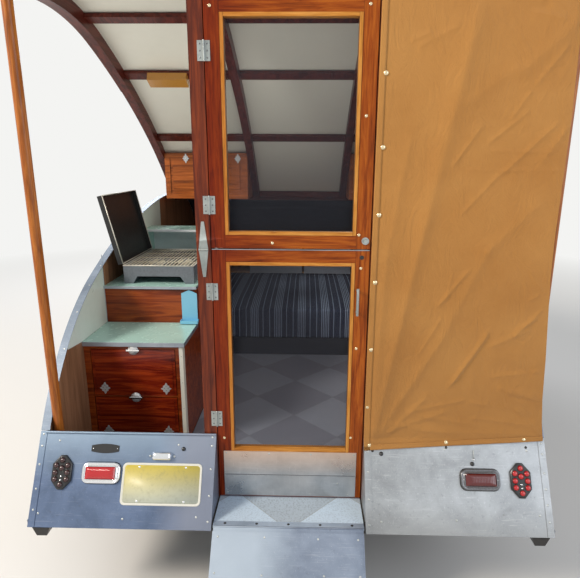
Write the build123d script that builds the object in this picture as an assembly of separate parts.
from build123d import *
from math import cos, radians, sin, sqrt, tan
import os

# Teardrop trailer with a ribbed clamshell roof, in millimetres.
# While it is drawn, x runs to the right, y forward from the door's outer face, and z up from the floor.
# It is moved at the end, so that z = 0 is the ground and y = 0 is the middle of the whole length.

# Clearances: a seated face, a soft piece, and a running gap
seat = 0.3
soft_gap = 0.5
run_gap = 6.0

# Body shell
body_width = 1950.0
wall_t = 22.0
floor_t = 20.0
floor_height = 420.0
panel_angle = 60.0
panel_top_z = 280.0
panel_bottom_z = -20.0
panel_t = 18.0
face_sheet_t = 2.0
edge_strip = 25.0
edge_roll_r = 5.0
rear_arc_radius = 1170.0
rear_arc_turn = 37.0
top_arc_radius = 3951.0
nose_flat = 80.0
nose_radius = 760.0
nose_turn = 80.0
skin_t = 8.0

# Roof, which opens about a hinge near the front
roof_open_angle = 41.8
rib_depth = 60.0
rib_width = 45.0
rib_wall_gap = 5.5
inner_rib_x = 320.0
roof_panel_t = 5.0
purlin_depth = 23.0
purlin_width = 55.0
purlin_shares = (0.219, 0.4224, 0.7058)
header_t = 30.0
front_bar_t = 28.0
roof_gap = 12.0
hinge_beam_depth = 56.0
hinge_beam_width = 70.0

# Lockers in the crook of the open roof, each with two doors hinged along the top
locker_face_set = 401.87
locker_reach = 290.0
locker_height = 304.0
locker_back_height = 60.0
locker_set = 26.86
locker_wall = 12.0
locker_door_t = 18.0
locker_door_gap = 3.0
locker_stile = 34.0
locker_bevel = 18.0
locker_hinge_r = 1.5

# Doorway and its two doors
door_half = 280.0
door_gap = 3.0
door_t = 28.0
post_width = 50.0
post_depth = 40.0
door_stop = 8.0
door_bottom_z = 5.0
door_meet_z = 1005.0
door_meet_gap = 6.0
head_board = 11.85
door_rail = 60.0
screen_half = 217.0
bead_width = 12.0
bead_t = 6.0
screen_t = 1.5
upper_screen_low_z = 1070.0
lower_screen_z = (219.0, 949.0)
kick_plate_z = (8.0, 206.0)
kick_plate_half = 260.0
kick_fold_z = 99.0
plate_t = 1.5

# Door fittings
hinge_pin_y = -4.0
hinge_barrel_r = 3.0
hinge_height = 62.0
hinge_leaf = 20.0
hinge_places = (1654.0, 1161.0, 851.0, 345.0)
strap_z = 1005.0
strap_half = 99.0
strap_width = 34.0
strap_point = 10.0
strap_t = 3.0
strap_barrel_r = 4.0
pull_x = 241.0
pull_z = (772.0, 872.0)
pull_r = 5.0
pull_reach = 22.0
knob_x = 262.0
knob_z = 1040.0
rosette_r = 13.0
knob_r = 6.0
knob_reach = 15.0

# Corner poles that carry the open roof beside the doorway
pole_r = 18.5
pole_wall_gap = 25.0
pole_y = 42.0

# Doorway tread and the flap hinged to it
tread_rear_y = -170.0
tread_strip = 24.0
cheek_t = 5.0
flap_angle = 49.0
flap_length = 300.0
flap_t = 12.0
flap_half = 277.0
flap_pin_z = 0.0
flap_pin_set = 3.5
flap_start = 16.0
flap_barrel_r = 3.0
flap_batten = 36.0
flap_batten_t = 5.0

# Galley on the left, bench on the right
galley_inner_x = 500.0
galley_rear_y = 372.0
galley_step_y = 660.0
galley_front_y = 1500.0
lower_counter_z = 516.0
upper_counter_z = 705.0
cubby_z = 905.0
cubby_rear_y = 1290.0
ply_t = 15.0
counter_t = 12.0
counter_lip = 10.0
corner_strip = 24.0
drop_front_t = 18.0
drop_front_gap = 3.0
drop_front_left = 33.0
drop_front_right = 37.0
drop_front_z = {"galley_flap_upper": (254.0, 478.0), "galley_flap_lower": (34.0, 242.0)}
field_set = 14.0
field_t = 2.0
bench_z = 400.0
bench_inner_x = 520.0

# Holder hung on the riser: a pointed back with a small tray
holder_x = -527.0
holder_width = 78.0
holder_height = 150.0
holder_point = 18.0
holder_t = 4.0
holder_tray = (88.0, 34.0, 16.0)
holder_lift = 4.0

# Bed, and the shelf over its foot in the nose
bed_rear_y = 1550.0
bed_front_set = 222.6
bed_base_z = 120.0
mattress_z = 335.0
mattress_round = 40.0
shelf_set = 380.6
shelf_z = (347.0, 700.0)
shelf_t = 12.0
shelf_panel_t = 6.0
shelf_panels_x = ((-447.0, 20.0), (40.0, 452.0))

# Camp stove
stove_size = (357.0, 500.0, 92.0)
stove_wall_gap = 84.0
stove_rear_y = 715.0
stove_wall = 3.0
stove_tray_z = 30.0
stove_arch_half = 110.0
stove_arch_z = 40.0
burner_x = 78.0
burner_r = 38.0
grate_bars = 7
lid_height = 352.0
lid_lift = 5.5
lid_depth = 26.0
lid_wall = 3.0
lid_lean = 13.0
lid_barrel_r = 3.5

# Running gear
axle_y = 1270.0
tyre_radius = 295.0
tyre_width = 165.0
tyre_bead_radius = 178.0
wheel_inset = 120.0
hub_radius = 55.0
hub_cap_r = 30.0
wheel_vent_r = 17.0
wheel_vent_ring = 112.0
stub_axle_r = 16.0
axle_tube_r = 25.0
rail_inset = 335.0
rail_width = 40.0
rail_depth = 60.0
arch_radius = 360.0
well_width = 285.0
well_t = 3.0
well_clear = 8.0
spring_half = 330.0
spring_width = 44.0
spring_shares = (1.0, 0.78, 0.55, 0.34)
spring_eye_drop = 44.0
leaf_t = 7.0

# Chassis, tongue, coupler and jack
rear_bar_y = -100.0
rear_bar_inset = 45.0
foot_inset = 45.0
foot_half = (33.0, 19.0)
foot_depth = 43.0
foot_rear_y = -165.0
cross_members = (620.0, 1960.0)
tongue_width = 50.0
tongue_depth = 60.0
tongue_start_y = 2420.0
tongue_bar_set = 40.0
rail_overlap = 80.0
tongue_tip_y = 3790.0
tongue_web = 110.0
coupler_length = 210.0
coupler_width = 76.0
coupler_height = 48.0
coupler_overlap = 130.0
coupler_wall = 5.0
ball_radius = 25.4
jack_y = 3420.0
jack_plate = (190.0, 70.0, 8.0)
jack_tube_r = 32.0
jack_tube_drop = 60.0
jack_tube_top = 330.0
jack_leg_r = 26.0
jack_leg_top = -15.0
jack_collar_r = 60.0
jack_foot_r = 80.0
jack_foot_t = 10.0
crank_reach = 150.0
crank_knob_r = 13.0
crank_knob_height = 71.0

# Canvas on the right: one sheet across the rear and one along the side
canvas_t = 4.0
canvas_post_gap = 1.0
canvas_hem = (50.0, 12.0)
canvas_waist = 36.0
canvas_head_flare = 12.0
canvas_waist_z = 1000.0

# Lamps and plate on the rear panels: the distances up the slope are from its foot, and the gaps
# between the plate, lamp, cluster lamp and edge are shares of the width that the three leave free
gap_shares = {"plate": 0.2835, "lamp": 0.052, "cluster": 0.25}
lamp_up = 195.0
lamp_size = (146.0, 76.0)
bezel_t = 10.0
lens_t = 26.0
lens_border = 32.0
cluster_size = (74.0, 122.0)
cluster_t = 12.0
cluster_lens_r = 10.5
cluster_lens_t = 20.0
cluster_lenses = ((0, 44), (-22, 25), (22, 25), (0, 15), (-23, -1), (23, -1), (-22, -25), (22, -25), (0, -44))
plate_size = (305.0, 152.0)
plate_up = 158.0
plate_lamp_size = (74.0, 30.0, 24.0)
plate_lamp_side = 5.0
plate_lamp_up = 260.0
roof_lamp_x = (-775.0, -572.0)
roof_lamp_size = (70.0, 40.0)


def block(x0, x1, y0, y1, z0, z1):
    """A box between two opposite corners."""
    middle = ((x0 + x1) / 2, (y0 + y1) / 2, (z0 + z1) / 2)
    return Pos(*middle) * Box(abs(x1 - x0), abs(y1 - y0), abs(z1 - z0))


def side_slab(edges, x0, x1):
    """A flat outline drawn in (y, z), carried along x from x0 to x1."""
    plane = Plane(origin=(x0, 0, 0), x_dir=(0, 1, 0), z_dir=(1, 0, 0))
    return extrude(plane * make_face(edges), amount=x1 - x0)


def loop_edges(points):
    """Straight edges round a closed outline."""
    return [Line(a, b) for a, b in zip(points, points[1:] + points[:1])]


def rod_x(radius, x0, x1, y, z):
    return Pos((x0 + x1) / 2, y, z) * Rot(0, 90, 0) * Cylinder(radius, abs(x1 - x0))


def rod_y(radius, x, y0, y1, z):
    return Pos(x, (y0 + y1) / 2, z) * Rot(90, 0, 0) * Cylinder(radius, abs(y1 - y0))


def rod_z(radius, x, y, z0, z1):
    return Pos(x, y, (z0 + z1) / 2) * Cylinder(radius, abs(z1 - z0))


# The side profile: the rear arc and the flat top arc over the roof, then the rounded nose
panel_dir = (cos(radians(panel_angle)), sin(radians(panel_angle)))
panel_out = (-panel_dir[1], panel_dir[0])


def roof_path(offset):
    """The roof's two tangent arcs, a given distance outside the walls' edge."""
    start = (panel_out[0] * offset, panel_top_z + panel_out[1] * offset)
    rear = JernArc(start, panel_dir, rear_arc_radius + offset, -rear_arc_turn)
    top_turn = panel_angle - rear_arc_turn
    top = JernArc(rear @ 1, rear % 1, top_arc_radius + offset, -top_turn)
    return [rear, top]


roof_front = roof_path(0)[1] @ 1
roof_front_y = roof_front.X
roof_front_z = roof_front.Y
pivot_y = roof_front_y + 2
pivot_z = roof_front_z + 4


def nose_path(offset, bottom_z):
    """From the roof's front end over the rounded nose and down to the floor's edge."""
    start = (roof_front_y, roof_front_z + offset)
    flat = Line(start, (roof_front_y + nose_flat, roof_front_z + offset))
    curve = JernArc(flat @ 1, (1, 0), nose_radius + offset, -nose_turn)
    end = curve @ 1
    run = (end.Y - bottom_z) / tan(radians(nose_turn))
    drop = Line(end, (end.X + run, bottom_z))
    return [flat, curve, drop]


def opened(shape):
    """Turn a piece of the closed roof about its pivot to where it stands open."""
    to_pivot = Pos(0, pivot_y, pivot_z)
    return to_pivot * Rot(-roof_open_angle, 0, 0) * Pos(0, -pivot_y, -pivot_z) * shape


def opened_point(y, z):
    """The same turn for one point of the side profile."""
    a = radians(-roof_open_angle)
    y, z = y - pivot_y, z - pivot_z
    return (pivot_y + y * cos(a) - z * sin(a), pivot_z + y * sin(a) + z * cos(a))


def open_roof_z(y, depth):
    """Height of the open roof's top arc at a place, a distance under the walls' edge line."""
    middle = opened_point(roof_front_y, roof_front_z - top_arc_radius)
    radius = top_arc_radius - depth
    return middle[1] + sqrt(radius ** 2 - (y - middle[0]) ** 2)


# Values worked out from the sizes above
half_width = body_width / 2
inner_x = half_width - wall_t
ground_z = -floor_height
panel_rear_y = (panel_bottom_z - panel_top_z) / tan(radians(panel_angle))
nose_foot_y = (nose_path(0, panel_bottom_z)[2] @ 1).X
outer_rib_x = inner_x - rib_wall_gap - rib_width / 2
roof_corner = opened_point(panel_dir[1] * rib_depth, panel_top_z - panel_dir[0] * rib_depth)
post_top_z = roof_corner[1] - seat
post_inner_x = door_half + door_gap
post_outer_x = post_inner_x + post_width
door_top_z = post_top_z - head_board - door_gap
upper_screen_z = (upper_screen_low_z, door_top_z - door_rail)
axle_z = ground_z + tyre_radius
rail_x = half_width - rail_inset
rail_top_z = -floor_t
rail_bottom_z = rail_top_z - rail_depth
wheel_x = half_width - wheel_inset
well_inner_x = half_width - well_width
locker_x = (inner_rib_x + rib_width / 2 + seat, outer_rib_x - rib_width / 2 - seat)
locker_face_y = pivot_y - locker_face_set
locker_back_y = locker_face_y + locker_reach
locker_top_z = open_roof_z(locker_face_y, locker_set)
locker_z = (locker_top_z - locker_height, locker_top_z)
purlin_places = [share * roof_front_y for share in purlin_shares]
bed_front_y = nose_foot_y - bed_front_set
shelf_rear_y = nose_foot_y - shelf_set
galley_left = -inner_x + seat
drop_front_x = (-inner_x + drop_front_left, -galley_inner_x - drop_front_right)
stove_left_x = -inner_x + stove_wall_gap
flap_dir = (-cos(radians(flap_angle)), -sin(radians(flap_angle)))
flap_up = (-sin(radians(flap_angle)), cos(radians(flap_angle)))
flap_pin_y = tread_rear_y - flap_pin_set
flap_tip_y = flap_pin_y + flap_dir[0] * flap_length + flap_up[0] * (1 + flap_t + flap_batten_t)
coupler_tip_y = tongue_tip_y - coupler_overlap + coupler_length + coupler_width / 2
free_width = half_width - door_half - run_gap - plate_size[0] - lamp_size[0] - cluster_size[0]
plate_x = door_half + run_gap + free_width * gap_shares["plate"] + plate_size[0] / 2
lamp_x = plate_x + (plate_size[0] + lamp_size[0]) / 2 + free_width * gap_shares["lamp"]
cluster_x = lamp_x + (lamp_size[0] + cluster_size[0]) / 2 + free_width * gap_shares["cluster"]


def roof_band(inside, outside, x0, x1):
    """A band of the roof between two offsets from the walls' edge."""
    low = roof_path(inside)
    high = roof_path(outside)
    ends = [Line(low[0] @ 0, high[0] @ 0), Line(low[1] @ 1, high[1] @ 1)]
    return side_slab(low + high + ends, x0, x1)


def roof_cross_bar(y_closed, width, top_set, depth, x0, x1):
    """A bar under the skin, square to the curve, at a place on the closed roof."""
    rear, top = roof_path(0)
    arc = rear if y_closed < (rear @ 1).X else top
    share = (y_closed - (arc @ 0).X) / ((arc @ 1).X - (arc @ 0).X)
    place = arc @ share
    along = arc % share

    def corner(a, d):
        return (place.X + along.X * a + along.Y * d, place.Y + along.Y * a - along.X * d)

    points = [corner(-width / 2, top_set), corner(width / 2, top_set),
              corner(width / 2, depth), corner(-width / 2, depth)]
    return side_slab(loop_edges(points), x0, x1)


def off_panel(up_from_head, out):
    """A point of the rear panels' profile: a distance up from the head and out of the face."""
    return (panel_dir[0] * up_from_head + panel_out[0] * out,
            panel_top_z + panel_dir[1] * up_from_head + panel_out[1] * out)


panel_length = (panel_top_z - panel_bottom_z) / panel_dir[1]


# Floor, walls, nose and rear panels
def floor_deck():
    join = panel_rear_y / 2 - 48
    deck = block(-inner_x + seat, inner_x - seat, join, nose_foot_y - floor_t * 0.6, -floor_t, 0)
    deck += block(-door_half, door_half, tread_rear_y, join + 1, -floor_t, 0)
    for side in (-1, 1):
        deck -= block(side * (well_inner_x - 1), side * half_width,
                      axle_y - arch_radius - 1, axle_y + arch_radius + 1, -floor_t - 1, 1)
    return deck + block(-door_half, door_half, tread_rear_y, tread_rear_y + tread_strip, 0, plate_t)


def side_wall(side):
    rear, top = roof_path(0)
    foot = (panel_rear_y, panel_bottom_z)
    edges = [Line(foot, (0, panel_top_z)), rear, top] + nose_path(0, panel_bottom_z)
    edges.append(Line((nose_foot_y, panel_bottom_z), foot))
    wall = side_slab(edges, side * half_width, side * inner_x)
    arch = rod_x(arch_radius, side * (inner_x - wall_t), side * (half_width + wall_t), axle_y, axle_z)
    return wall - arch


def nose_panel():
    outer = nose_path(skin_t, panel_bottom_z)
    inner = nose_path(seat, panel_bottom_z)
    start_cut = Line(inner[0] @ 0, outer[0] @ 0)
    end_cut = Line(inner[2] @ 1, outer[2] @ 1)
    skin = side_slab(outer + inner + [start_cut, end_cut], -half_width, half_width)
    gap = block(-half_width, half_width, roof_front_y - 1, roof_front_y + roof_gap,
                roof_front_z - 1, roof_front_z + 2 * skin_t)
    return skin - gap


def hinge_beam():
    rear = roof_front_y + roof_gap
    return block(-inner_x + seat, inner_x - seat, rear, rear + hinge_beam_width,
                 roof_front_z - hinge_beam_depth, roof_front_z)


def rear_panel(side):
    """A sloping panel beside the doorway, with its cheek beside the tread and its edge strips."""
    inner_edge = side * (door_half + run_gap)
    wall_edge = side * (inner_x - seat)
    outer_edge = side * half_width

    def band(low, high):
        return loop_edges([off_panel(-panel_length, low), off_panel(0, low),
                           off_panel(0, high), off_panel(-panel_length, high)])

    panel = side_slab(band(-panel_t, 0), inner_edge, wall_edge)
    panel -= block(inner_edge, wall_edge, -seat, post_depth, 0, panel_top_z + edge_roll_r)
    panel += side_slab(band(0, face_sheet_t), inner_edge, outer_edge)
    panel += side_slab(band(0, 2 * face_sheet_t), inner_edge, inner_edge + side * edge_strip)
    panel += side_slab(band(0, 2 * face_sheet_t), outer_edge - side * edge_strip, outer_edge)
    panel += rod_x(edge_roll_r, inner_edge, wall_edge, -edge_roll_r - 1, panel_top_z - 2)
    cheek_points = [(panel_rear_y + 14, seat), (-1, seat), (-1, panel_top_z - 16)]
    return panel + side_slab(loop_edges(cheek_points), inner_edge, inner_edge + side * cheek_t)


# Clamshell roof
def roof_skin():
    return opened(roof_band(seat, skin_t, -half_width, half_width))


def roof_frame():
    """Four curved ribs and the purlins between them, joined under the skin."""
    frame = None
    for x in (-outer_rib_x, -inner_rib_x, inner_rib_x, outer_rib_x):
        rib = roof_band(-rib_depth, 0, x - rib_width / 2, x + rib_width / 2)
        frame = rib if frame is None else frame + rib
    for y_closed in purlin_places:
        frame += roof_cross_bar(y_closed, purlin_width, roof_panel_t, purlin_depth, -outer_rib_x, outer_rib_x)
    header = [off_panel(0, -1), off_panel(header_t, -1),
              off_panel(header_t, -rib_depth), off_panel(0, -rib_depth)]
    frame += side_slab(loop_edges(header), -outer_rib_x, outer_rib_x)
    front_bar = block(-outer_rib_x, outer_rib_x, roof_front_y - front_bar_t, roof_front_y,
                      roof_front_z - rib_depth, roof_front_z - 2 * roof_panel_t)
    frame += front_bar & roof_band(-rib_depth, 0, -outer_rib_x, outer_rib_x)
    return opened(frame)


def locker_case(side):
    """A wedge-shaped case: bottom board, two ends, and a divider under the roof."""
    x0, x1 = side * locker_x[0], side * locker_x[1]
    z0, z1 = locker_z
    y0, y1 = locker_face_y + locker_door_t + seat, locker_back_y
    back = locker_back_height
    slope = (z1 - z0 - back) / (y1 - y0)
    solid = side_slab(loop_edges([(y0, z0), (y1, z0), (y1, z0 + back), (y0, z1)]), x0, x1)
    t = locker_wall
    inside = [(y0 - 1, z0 + t), (y1 - t, z0 + t), (y1 - t, z0 + back - t), (y0 - 1, z1 - t + slope)]
    hollow = side_slab(loop_edges(inside), x0 + side * t, x1 - side * t)
    middle = (x0 + x1) / 2
    divider = block(middle - t / 2, middle + t / 2, y0, y1, z0, z1) & solid
    return solid - hollow + divider


def locker_door_spans(side):
    """The x range of each door of one locker, inner door first."""
    x0, x1 = side * locker_x[0], side * locker_x[1]
    middle = (x0 + x1) / 2
    gap = side * locker_door_gap / 2
    return [(x0 + gap, middle - gap), (middle + gap, x1 - gap)]


def locker_door(x0, x1):
    """A raised-panel door, hung from a thin hinge along its top."""
    z0, z1 = locker_z[0] + locker_door_gap, locker_z[1] - locker_door_gap
    y0, y1 = locker_face_y, locker_face_y + locker_door_t
    lo, hi = min(x0, x1), max(x0, x1)
    sunk = locker_stile
    proud = locker_stile + locker_bevel
    door = block(lo, hi, y0, y1, z0, z1)
    door -= block(lo + sunk, hi - sunk, y0 - 1, y0 + 7, z0 + sunk, z1 - sunk)
    door += block(lo + proud, hi - proud, y0 + 2, y0 + 8, z0 + proud, z1 - proud)
    return door + rod_x(locker_hinge_r, lo + 10, hi - 10, y0 + locker_hinge_r, z1 + locker_hinge_r - seat)


# Poles and the door frame that hold the roof up
def corner_pole(side):
    tilt = panel_angle - roof_open_angle
    top = post_top_z + (pole_y - pole_r - roof_corner[0]) * tan(radians(tilt))
    return rod_z(pole_r, side * (inner_x - pole_wall_gap), pole_y, 0, top)


def door_frame():
    """Two posts and a head board; the doors close against its stops."""
    frame = block(-post_outer_x, post_outer_x, 0, post_depth, door_top_z + door_gap, post_top_z)
    for side in (-1, 1):
        frame += block(side * post_inner_x, side * post_outer_x, 0, post_depth, 0, post_top_z)
        frame += block(side * (post_inner_x - door_stop), side * post_inner_x,
                       door_t + 2, post_depth, 0, post_top_z)
    return frame


def frame_hardware():
    """Post leaves of the four butt hinges, and the long strap hinge where the post folds."""
    x_edge = -post_inner_x - soft_gap
    leaves = []
    for z in hinge_places:
        half = hinge_height / 2
        leaves.append(block(x_edge - hinge_leaf, x_edge, -plate_t, 0, z - half, z + half))
    middle = -post_inner_x - post_width / 2
    half = strap_width / 2
    tip = strap_point / 2
    points = [(middle - tip, strap_z - strap_half), (middle + tip, strap_z - strap_half),
              (middle + half, strap_z), (middle + tip, strap_z + strap_half),
              (middle - tip, strap_z + strap_half), (middle - half, strap_z)]
    plane = Plane(origin=(0, 0, 0), x_dir=(1, 0, 0), z_dir=(0, -1, 0))
    strap = extrude(plane * make_face(loop_edges(points)), amount=strap_t)
    barrel = rod_x(strap_barrel_r, middle - half, middle + half, -strap_barrel_r, strap_z)
    return leaves + [strap + barrel]


# Doors
def door_leaf(z0, z1, screen_z):
    leaf = block(-door_half, door_half, 0, door_t, z0, z1)
    reach = screen_half + bead_width
    return leaf - block(-reach, reach, -1, door_t + 1, screen_z[0] - bead_width, screen_z[1] + bead_width)


def door_bead(screen_z):
    """The paler moulding that holds the screen in, standing a little proud of the leaf."""
    reach = screen_half + bead_width
    outer = block(-reach, reach, -bead_t / 3, door_t, screen_z[0] - bead_width, screen_z[1] + bead_width)
    return outer - block(-screen_half, screen_half, -bead_t, door_t + 1, screen_z[0], screen_z[1])


def door_screen(screen_z):
    y0 = door_t / 2
    return block(-screen_half, screen_half, y0, y0 + screen_t, screen_z[0], screen_z[1])


def door_hinges(places):
    """The door's leaves with their barrels, which stand clear of the post's leaves."""
    pin_x = -door_half - door_gap / 2
    hardware = []
    for z in places:
        z0, z1 = z - hinge_height / 2, z + hinge_height / 2
        leaf = block(pin_x, pin_x + hinge_leaf, -plate_t, 0, z0, z1)
        leaf += rod_z(hinge_barrel_r, pin_x, hinge_pin_y, z0, z1)
        leaf += block(pin_x - 1, pin_x + plate_t, hinge_pin_y, -plate_t / 2, z0, z1)
        hardware.append(leaf)
    return hardware


def door_pull():
    """A slim pull on two small feet."""
    z0, z1 = pull_z
    pull = rod_z(pull_r, pull_x, -pull_reach, z0, z1)
    for z in (z0 + 2 * pull_r, z1 - 2 * pull_r):
        pull += rod_y(pull_r, pull_x, -pull_reach, 0, z)
    return pull


def latch_rosette():
    return rod_y(rosette_r, knob_x, -4, 0, knob_z) + rod_y(knob_r, knob_x, -knob_reach, -1, knob_z)


def kick_plate():
    """A sheet over the door's bottom rail, stiffened by a shallow fold."""
    z0, z1 = kick_plate_z
    half = kick_plate_half
    sheet = block(-half, half, -plate_t, 0, z0, z1)
    return sheet + block(-half, half, -2 * plate_t, -plate_t / 2, kick_fold_z - 3, kick_fold_z + 3)


def step_flap():
    """The step's flap, hanging open from a full-width hinge at the tread's edge."""
    def point(along, out):
        return (flap_pin_y + flap_dir[0] * along + flap_up[0] * out,
                flap_pin_z + flap_dir[1] * along + flap_up[1] * out)

    def slab(a0, a1, b0, b1):
        return side_slab(loop_edges([point(a0, b0), point(a1, b0), point(a1, b1), point(a0, b1)]),
                         -flap_half, flap_half)

    leaf_reach = flap_start + 30
    flap = slab(flap_start, flap_length, 1, 1 + flap_t)
    flap += slab(0, leaf_reach, -0.5, 1)
    flap += rod_x(flap_barrel_r, -flap_half, flap_half, flap_pin_y, flap_pin_z)
    return flap + slab(flap_length - flap_batten, flap_length, 1 + flap_t, 1 + flap_t + flap_batten_t)


# Galley cabinet: a lower part at the rear, a higher one in front of it, and a cubby on top
def galley_carcass():
    left, right = galley_left, -galley_inner_x
    face_y = galley_rear_y
    t = ply_t
    low_top = lower_counter_z - counter_t
    high_top = upper_counter_z - counter_t
    case = block(left, right, face_y, galley_step_y, 0, low_top)
    case += block(left, right, galley_step_y, galley_front_y, 0, high_top)
    case -= block(left + t, right - t, face_y + t, galley_step_y, t, low_top - t)
    case -= block(left + t, right - t, galley_step_y + t, galley_front_y - t, t, high_top - t)
    case -= block(left - 1, -(well_inner_x - well_clear), axle_y - arch_radius - well_clear,
                  galley_front_y + 1, -1, axle_z + arch_radius + 1.5 * well_clear)
    gap = drop_front_gap
    x0, x1 = drop_front_x[0] - gap, drop_front_x[1] + gap
    for z0, z1 in drop_front_z.values():
        case -= block(x0, x1, face_y - 1, face_y + t + 1, z0 - gap, z1 + gap)
    return case + block(right - 3, right + 2, face_y - 2, face_y + corner_strip, 0, low_top)


def galley_counters():
    """The two mint worktops and the cubby over the front one, each with a metal-edged lip."""
    left, right = galley_left, -galley_inner_x + counter_lip
    z = lower_counter_z
    lower = block(left, right, galley_rear_y - counter_lip, galley_step_y - soft_gap, z - counter_t + seat, z)
    z = upper_counter_z
    upper = block(left, right, galley_step_y - counter_lip, galley_front_y, z - counter_t + seat, z)
    upper += block(left, right, cubby_rear_y, galley_front_y, z, cubby_z)
    upper -= block(left + ply_t, right - ply_t, cubby_rear_y - 1, galley_front_y - ply_t,
                   z, cubby_z - counter_t)
    return [lower, upper]


def drop_front(z0, z1):
    """A drop-front set in the carcass, with a proud field, on a hinge along its bottom edge."""
    x0, x1 = drop_front_x
    y0 = galley_rear_y
    board = block(x0, x1, y0, y0 + drop_front_t, z0, z1)
    board += block(x0 + field_set, x1 - field_set, y0 - field_t, y0 + 1, z0 + field_set, z1 - field_set)
    hinge_r = drop_front_gap / 2
    return board + rod_x(hinge_r, x0 + field_set, x1 - field_set, y0 + hinge_r, z0 - hinge_r + seat)


def wall_holder():
    """A small holder on the riser: a pointed back board with a tray at its foot."""
    half = holder_width / 2
    y0 = galley_step_y - seat
    z0 = lower_counter_z + holder_lift
    z1 = z0 + holder_height
    points = [(holder_x - half, z0), (holder_x + half, z0), (holder_x + half, z1),
              (holder_x, z1 + holder_point), (holder_x - half, z1)]
    plane = Plane(origin=(0, y0, 0), x_dir=(1, 0, 0), z_dir=(0, -1, 0))
    back = extrude(plane * make_face(loop_edges(points)), amount=holder_t)
    w, d, h = holder_tray
    tray = block(holder_x - w / 2, holder_x + w / 2, y0 - d, y0, z0, z0 + h)
    tray -= block(holder_x - w / 2 + 3, holder_x + w / 2 - 3, y0 - d + 3, y0 - holder_t, z0 + 3, z0 + h + 1)
    return back + tray


# Camp stove on the upper worktop
def stove_body():
    """An open steel tray with a splayed arch in its front, two burners and a grate."""
    w, d, h = stove_size
    t = stove_wall
    x0, x1 = stove_left_x, stove_left_x + w
    y0, y1 = stove_rear_y, stove_rear_y + d
    z0 = upper_counter_z + seat
    middle = (x0 + x1) / 2
    body = block(x0, x1, y0, y1, z0, z0 + h)
    body -= block(x0 + t, x1 - t, y0 + t, y1 - t, z0 + stove_arch_z + t, z0 + h + 1)
    half = stove_arch_half
    plane = Plane(origin=(0, y0 - 1, 0), x_dir=(1, 0, 0), z_dir=(0, -1, 0))
    arch = [(middle - half - 24, z0 - 1), (middle + half + 24, z0 - 1),
            (middle + half, z0 + stove_arch_z - t), (middle - half, z0 + stove_arch_z - t)]
    body -= extrude(plane * make_face(loop_edges(arch)), amount=-(d - 2 * t))
    for x in (middle - burner_x, middle + burner_x):
        body += rod_z(burner_r, x, (y0 + y1) / 2, z0 + stove_arch_z, z0 + stove_arch_z + stove_tray_z)
    bar_z = z0 + h - 10
    for i in range(grate_bars):
        x = x0 + w * (i + 1) / (grate_bars + 1)
        body += block(x - 2, x + 2, y0 + 1, y1 - 1, bar_z, bar_z + 4)
    body += block(x0 + 1, x1 - 1, (y0 + y1) / 2 - 3, (y0 + y1) / 2 + 3, bar_z, bar_z + 4)
    return body + block(x0, x0 + 2, y0 + 40, y1 - 40, z0 + h - 1, z0 + h + lid_lift - lid_barrel_r - seat)


def stove_lid():
    """The stove's pan-shaped lid, standing on its hinge along the wall side."""
    w, d, h = stove_size
    t = lid_wall
    y0, y1 = stove_rear_y + 3, stove_rear_y + d - 3
    lid = block(-lid_depth, 0, y0, y1, 2, lid_height)
    lid -= block(t - lid_depth, 1, y0 + t, y1 - t, 2 + t, lid_height - t)
    lid += rod_y(lid_barrel_r, 0, y0 + 30, y1 - 30, 0)
    lid += block(-t, 0, y0 + 30, y1 - 30, 0, 4)
    return Pos(stove_left_x, 0, upper_counter_z + seat + h + lid_lift) * Rot(0, -lid_lean, 0) * lid


# Bench on the right, bed, mattress and foot shelf
def bench_right():
    x0, x1 = bench_inner_x, inner_x - seat
    t = ply_t
    y0 = galley_rear_y + drop_front_t
    case = block(x0, x1, y0, galley_front_y, 0, bench_z)
    case -= block(x0 + t, x1 - t, y0 + t, galley_front_y - t, t, bench_z - t)
    return case - block(well_inner_x - well_clear, x1 + 1, axle_y - arch_radius - well_clear,
                        galley_front_y + 1, -1, axle_z + arch_radius + 1.5 * well_clear)


def bed_base():
    x = inner_x - seat
    t = ply_t
    base = block(-x, x, bed_rear_y, bed_front_y, 0, bed_base_z)
    base -= block(-x + t, x - t, bed_rear_y + t, bed_front_y - t, -1, bed_base_z - t)
    for side in (-1, 1):
        base -= block(side * (well_inner_x - well_clear), side * half_width,
                      bed_rear_y - 1, axle_y + arch_radius + well_clear, -1, bed_base_z - t)
    return base


def mattress():
    x = inner_x - 14
    pad = block(-x, x, bed_rear_y + 4, bed_front_y - 10, bed_base_z + seat, mattress_z)
    rear_edges = pad.edges().filter_by(Axis.X).sort_by(Axis.Y)[:2].sort_by(Axis.Z)
    return fillet(rear_edges[-1], mattress_round)


def nose_inner_y(z):
    """How far forward the nose's inside reaches at a height."""
    middle_z = roof_front_z - nose_radius
    return roof_front_y + nose_flat + sqrt(nose_radius ** 2 - (z - middle_z) ** 2)


def foot_shelf():
    """A shelf between the walls over the bed's foot, its front closed by two thin panels."""
    x = inner_x - seat
    z0, z1 = shelf_z
    y0 = shelf_rear_y + shelf_panel_t
    shelf = block(-x, x, y0, nose_inner_y(z0 + shelf_t) - 20, z0, z0 + shelf_t)
    shelf += block(-x, x, y0, nose_inner_y(z1) - 20, z1 - shelf_t, z1)
    for px in (shelf_panels_x[0][0], shelf_panels_x[1][1] - shelf_t):
        shelf += block(px, px + shelf_t, y0, nose_inner_y(z1) - 20, z0, z1)
    return shelf


def shelf_panels():
    z0, z1 = shelf_z
    y1 = shelf_rear_y + shelf_panel_t - seat
    return [block(x0, x1, shelf_rear_y, y1, z0, z1) for x0, x1 in shelf_panels_x]


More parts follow.
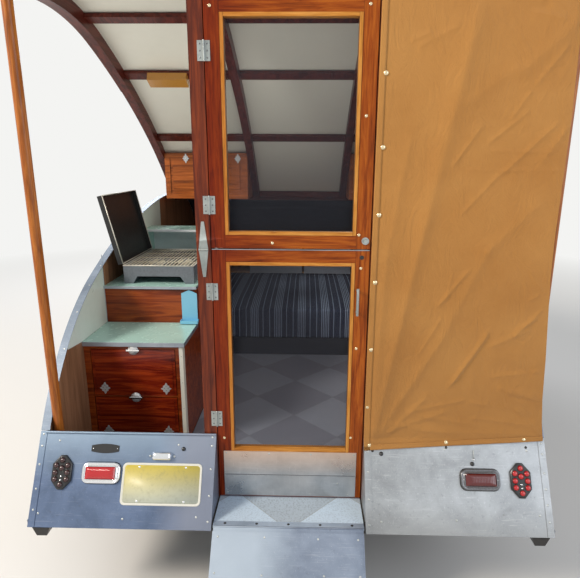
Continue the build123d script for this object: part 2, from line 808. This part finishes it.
# Canvas
def canvas_rear():
    """The rear sheet, waisted along its right edge, with a hem that narrows over the panel."""
    hem = canvas_hem[0]
    out = 2 * face_sheet_t + edge_roll_r + soft_gap
    low, bend = off_panel(-hem, out), off_panel(0, out)
    low_out, bend_out = off_panel(-hem, out + canvas_t), off_panel(0, out + canvas_t)
    top = roof_corner[1] - run_gap
    flat_y = -plate_t - 1
    rise = bend[1] + 30
    profile = [low, bend, (flat_y, rise), (flat_y, top), (flat_y - canvas_t, top),
               (flat_y - canvas_t, rise), bend_out, low_out]
    x0, x1 = post_inner_x + canvas_post_gap, half_width - run_gap
    sheet = side_slab(loop_edges(profile), x0, x1)
    low_z = low[1] - canvas_t
    corner = (x1, low_z + (canvas_hem[0] - canvas_hem[1]) * panel_dir[1])
    waist = (inner_x - canvas_waist, canvas_waist_z)
    head = (waist[0] + canvas_head_flare, top + 1)
    outline = [ThreePointArc(corner, waist, head), Line(head, (x0 - 1, top + 1)),
               Line((x0 - 1, top + 1), (x0 - 1, low_z)), Line((x0 - 1, low_z), (x0, low_z)),
               Line((x0, low_z), corner)]
    plane = Plane(origin=(0, panel_rear_y, 0), x_dir=(1, 0, 0), z_dir=(0, -1, 0))
    return sheet & extrude(plane * make_face(outline), amount=panel_rear_y - 10)


def canvas_side():
    """The side sheet fills the wedge between the wall's edge and the open roof."""
    x0 = outer_rib_x + rib_width / 2 + soft_gap

    def turned(place):
        return opened_point(place.X, place.Y)

    rear, top = roof_path(-5)
    low_rear, low_top = roof_path(-20)
    high = [turned(rear @ 0.11), turned(rear @ 0.55), turned(rear @ 1), turned(top @ 0.3), turned(top @ 0.9)]
    low = [low_top @ 0.9, low_top @ 0.45, low_rear @ 1, low_rear @ 0.58, low_rear @ 0.16]
    low = [(place.X, place.Y) for place in low]
    edges = [Line(low[4], high[0]), ThreePointArc(high[0], high[1], high[2]),
             ThreePointArc(high[2], high[3], high[4]), Line(high[4], low[0]),
             ThreePointArc(low[0], low[1], low[2]), ThreePointArc(low[2], low[3], low[4])]
    return side_slab(edges, x0, x0 + canvas_t)


# Lamps and plate on the rear panels
def on_panel(up_slope, x):
    """A frame on a rear panel's sheet: x along the panel, y up its slope, z straight out of it."""
    y, z = off_panel(up_slope - panel_length, face_sheet_t + seat)
    return Plane(origin=(x, y, z), x_dir=(1, 0, 0), z_dir=(0, panel_out[0], panel_out[1]))


def tail_lamps():
    """Rounded chrome bezels round red lenses that stand proud."""
    lamps = []
    w, h = lamp_size
    for side in (-1, 1):
        plane = on_panel(lamp_up, side * lamp_x)
        bezel = extrude(plane * RectangleRounded(w, h, h * 0.3), amount=bezel_t)
        lens = RectangleRounded(w - lens_border, h - lens_border, h * 0.2)
        lamps.append(bezel + extrude(plane * lens, amount=lens_t))
    return lamps


def cluster_lamps():
    """Long six-sided lamps with nine round lenses each."""
    lamps = []
    w, h = cluster_size
    outline = [(-w / 2, h / 4), (0, h / 2), (w / 2, h / 4), (w / 2, -h / 4), (0, -h / 2), (-w / 2, -h / 4)]
    for side in (-1, 1):
        plane = on_panel(lamp_up, side * cluster_x)
        lamp = extrude(plane * make_face(loop_edges(outline)), amount=cluster_t)
        for x, up in cluster_lenses:
            lamp += extrude(plane * Pos(x, up) * Circle(cluster_lens_r), amount=cluster_lens_t)
        lamps.append(lamp)
    return lamps


def number_plate():
    """A bare plate with its small lamp above."""
    plate = extrude(on_panel(plate_up, -plate_x) * RectangleRounded(*plate_size, 16), amount=3)
    w, h, depth = plate_lamp_size
    plane = on_panel(plate_lamp_up, -plate_x - plate_lamp_side)
    return [plate, extrude(plane * RectangleRounded(w, h, 6), amount=depth)]


def roof_lamp():
    """The amber lamp on the middle purlin of the left bay."""
    width, depth = roof_lamp_size
    top_set = purlin_depth + seat
    return opened(roof_cross_bar(purlin_places[1], width, top_set, top_set + depth, *roof_lamp_x))


# Chassis, tongue and running gear
def chassis_frame():
    """Two rails, cross members, the rear bar with a tapered foot at each end, and the A-shaped tongue."""
    z0, z1 = rail_bottom_z, rail_top_z
    half = rail_width / 2
    bar_reach = half_width - rear_bar_inset
    frame = block(-bar_reach, bar_reach, rear_bar_y, rear_bar_y + rail_width, z0, z1)
    for side in (-1, 1):
        frame += block(side * rail_x - half, side * rail_x + half,
                       rear_bar_y, tongue_start_y + rail_overlap, z0, z1)
    for y in cross_members + (tongue_start_y + tongue_bar_set,):
        frame += block(-rail_x, rail_x, y, y + rail_width, z0, z1)
    plane = Plane(origin=(0, foot_rear_y, 0), x_dir=(1, 0, 0), z_dir=(0, -1, 0))
    foot_z = (z1 - foot_depth, panel_bottom_z - panel_t * panel_dir[0] - seat)
    for side in (-1, 1):
        x = side * (half_width - foot_inset)
        wide, narrow = foot_half
        points = [(x - wide, foot_z[1]), (x + wide, foot_z[1]),
                  (x + narrow, foot_z[0]), (x - narrow, foot_z[0])]
        frame += extrude(plane * make_face(loop_edges(points)), amount=foot_rear_y - rear_bar_y - rail_width)
    start, end = rail_x + half, coupler_width / 2
    plane = Plane(origin=(0, 0, z0), x_dir=(1, 0, 0), z_dir=(0, 0, 1))
    for side in (-1, 1):
        points = [(side * start, tongue_start_y), (side * end, tongue_tip_y), (-side, tongue_tip_y),
                  (-side, tongue_tip_y - tongue_web), (side * (start - tongue_width * 1.3), tongue_start_y)]
        frame += extrude(plane * make_face(loop_edges(points)), amount=tongue_depth)
    reach, length, thick = jack_plate
    frame += block(-reach, reach, jack_y - length, jack_y + length, z1 - 1, z1 + thick)
    return frame - rod_z(jack_tube_r + seat, 0, jack_y, z0 - 20, z1 + 2 * thick)


def coupler():
    """A pressed ball coupler: a channel over the tongue's tip with a round socket."""
    z0 = rail_top_z + seat
    z1 = z0 + coupler_height
    y0 = tongue_tip_y - coupler_overlap
    y1 = y0 + coupler_length
    half = coupler_width / 2
    t = coupler_wall
    body = block(-half, half, y0, y1, z0, z1) + rod_z(half, 0, y1, z0, z1)
    body -= Pos(0, y1, z0) * Sphere(ball_radius + 0.4)
    body -= block(t - half, half - t, y0 - 1, y1 - 2 * half + 16, z0 + t, z1 - t)
    return body + block(-8, 8, y1 - 70, y1 + 10, z1, z1 + 14)


def jack_tube():
    """The jack's fixed tube, its collar on the tongue's plate, and the crank on top."""
    collar_z = rail_top_z + jack_plate[2]
    top = jack_tube_top
    tube = rod_z(jack_tube_r, 0, jack_y, rail_bottom_z - jack_tube_drop, top)
    tube -= rod_z(jack_leg_r + seat, 0, jack_y, rail_bottom_z - jack_tube_drop - 1, top - 40)
    collar = rod_z(jack_collar_r, 0, jack_y, collar_z + seat, collar_z + 12)
    collar -= rod_z(jack_tube_r - 2, 0, jack_y, collar_z - 8, collar_z + 22)
    crank = block(-10, 10, jack_y - 10, jack_y + 10, top - 1, top + 26)
    arm = block(0, crank_reach, jack_y - 8, jack_y + 8, top + 14, top + 26)
    knob = rod_z(crank_knob_r, crank_reach - 5, jack_y, top + 24, top + 24 + crank_knob_height)
    return tube + collar + crank + arm + knob


def jack_leg():
    leg = rod_z(jack_leg_r, 0, jack_y, ground_z + jack_foot_t / 2, jack_leg_top)
    return leg + rod_z(jack_foot_r, 0, jack_y, ground_z, ground_z + jack_foot_t)


def axle_and_springs():
    """A tube axle hung on two leaf springs below the rails."""
    gear = rod_x(axle_tube_r, -wheel_x + 70, wheel_x - 70, axle_y, axle_z)
    half = spring_width / 2
    eye_z = rail_bottom_z - spring_eye_drop
    seat_z = axle_z - axle_tube_r - 4
    for side in (-1, 1):
        x = side * rail_x
        for i, share in enumerate(spring_shares):
            reach = spring_half * share
            low = seat_z - i * leaf_t
            high = low + (eye_z - seat_z) * share ** 2
            over = ThreePointArc((axle_y - reach, high), (axle_y, low), (axle_y + reach, high))
            under = ThreePointArc((axle_y - reach, high - leaf_t), (axle_y, low - leaf_t),
                                  (axle_y + reach, high - leaf_t))
            ends = [Line(over @ 0, under @ 0), Line(over @ 1, under @ 1)]
            gear += side_slab([over, under] + ends, x - half, x + half)
        gear += block(x - half - 6, x + half + 6, axle_y - 40, axle_y + 40,
                      axle_z - axle_tube_r - 6, axle_z - axle_tube_r + 10)
        for y in (axle_y - spring_half, axle_y + spring_half):
            gear += block(x - half - 5, x + half + 5, y - 24, y + 24, eye_z - 16, rail_bottom_z - seat)
        gear += rod_x(stub_axle_r, side * (wheel_x - 72), side * (wheel_x - 44 - seat), axle_y, axle_z)
    return gear


def wheel_wells():
    """Boxed housings over the wheels, round above and closed on the inner side."""
    wells = []
    for side in (-1, 1):
        x0, x1 = side * well_inner_x, side * (inner_x - seat)
        shell = rod_x(arch_radius, x0, x1, axle_y, axle_z)
        shell -= rod_x(arch_radius - well_t, x0 + side * well_t, x1 + side, axle_y, axle_z)
        shell -= block(-half_width, half_width, axle_y - arch_radius - 1, axle_y + arch_radius + 1,
                       axle_z - arch_radius - 1, -floor_t)
        wells.append(shell)
    return wells


def turned_ring(outline, side):
    """A ring turned from (radius, depth) points; depth runs outward along the axle."""
    plane = Plane(origin=(0, 0, 0), x_dir=(0, 1, 0), z_dir=(0, 0, 1))
    points = [(radius, -side * depth) for radius, depth in outline]
    ring = revolve(plane * make_face(loop_edges(points)), axis=Axis.X)
    return Pos(side * wheel_x, axle_y, axle_z) * ring


def wheel_rim(side):
    """A pressed disc wheel with a dished face, a hub cap and four round vents."""
    lip = tyre_width / 2 - 14
    bed = tyre_bead_radius
    outline = [(0, -24), (hub_radius, -24), (hub_radius + 14, 4), (bed - 34, 18), (bed - 8, 18),
               (bed + 14, lip), (bed, lip - 16), (bed, -lip + 16), (bed + 14, -lip), (bed - 8, 4),
               (bed - 32, 8), (hub_radius + 12, -12), (hub_radius, -44), (0, -44)]
    disc = turned_ring(outline, side)
    x = side * wheel_x
    for i in range(4):
        angle = radians(45 + 90 * i)
        y, z = wheel_vent_ring * cos(angle), wheel_vent_ring * sin(angle)
        disc -= rod_x(wheel_vent_r, x - 60, x + 60, axle_y + y, axle_z + z)
    return disc + rod_x(hub_cap_r, x - side * 25, x + side * 35, axle_y, axle_z)


def tyre(side):
    r0, r1, w = tyre_bead_radius + 14 + seat, tyre_radius, tyre_width / 2
    bead = tyre_width / 2 - 14
    return turned_ring([(r0, -bead), (r0 + 22, -w), (r1 - 26, -w), (r1, -w + 30),
                        (r1, w - 30), (r1 - 26, w), (r0 + 22, w), (r0, bead)], side)


# Everything by name, then moved onto the ground and centred along its length
nodes = {
    "floor_deck": floor_deck(),
    "nose_panel": nose_panel(),
    "hinge_beam": hinge_beam(),
    "roof_skin": roof_skin(),
    "roof_frame": roof_frame(),
    "door_frame": door_frame(),
    "frame_hardware": frame_hardware(),
    "upper_door": door_leaf(door_meet_z + door_meet_gap, door_top_z, upper_screen_z),
    "upper_bead": door_bead(upper_screen_z),
    "upper_screen": door_screen(upper_screen_z),
    "upper_door_hardware": door_hinges(hinge_places[:2]) + [latch_rosette()],
    "lower_door": door_leaf(door_bottom_z, door_meet_z, lower_screen_z),
    "lower_bead": door_bead(lower_screen_z),
    "lower_screen": door_screen(lower_screen_z),
    "lower_door_hardware": door_hinges(hinge_places[2:]) + [door_pull()],
    "kick_plate": kick_plate(),
    "step_flap": step_flap(),
    "galley_carcass": galley_carcass(),
    "galley_counters": galley_counters(),
    "wall_holder": wall_holder(),
    "stove_body": stove_body(),
    "stove_lid": stove_lid(),
    "bench_right": bench_right(),
    "bed_base": bed_base(),
    "mattress": mattress(),
    "foot_shelf": foot_shelf(),
    "shelf_panels": shelf_panels(),
    "canvas_rear": canvas_rear(),
    "canvas_side": canvas_side(),
    "tail_lamps": tail_lamps(),
    "cluster_lamps": cluster_lamps(),
    "number_plate": number_plate(),
    "roof_lamp": roof_lamp(),
    "chassis_frame": chassis_frame(),
    "coupler": coupler(),
    "jack_tube": jack_tube(),
    "jack_leg": jack_leg(),
    "axle_and_springs": axle_and_springs(),
    "wheel_wells": wheel_wells(),
}
for side, word in ((-1, "left"), (1, "right")):
    nodes["side_wall_" + word] = side_wall(side)
    nodes["rear_panel_" + word] = rear_panel(side)
    nodes["corner_pole_" + word] = corner_pole(side)
    nodes["roof_locker_" + word] = locker_case(side)
    nodes["wheel_rim_" + word] = wheel_rim(side)
    nodes["tyre_" + word] = tyre(side)
    for place, (x0, x1) in zip(("inner", "outer"), locker_door_spans(side)):
        nodes["locker_door_" + word + "_" + place] = locker_door(x0, x1)
for name, (z0, z1) in drop_front_z.items():
    nodes[name] = drop_front(z0, z1)

middle_y = (flap_tip_y + coupler_tip_y) / 2
print("middle_y", middle_y)
os.makedirs("parts", exist_ok=True)
for name, shape in nodes.items():
    solids = []
    for piece in (shape if isinstance(shape, list) else [shape]):
        solids.extend((Pos(0, -middle_y, floor_height) * piece).solids())
    whole = solids[0] if len(solids) == 1 else Compound(children=solids)
    export_step(whole, "parts/" + name + ".step")
    print(name, len(solids))
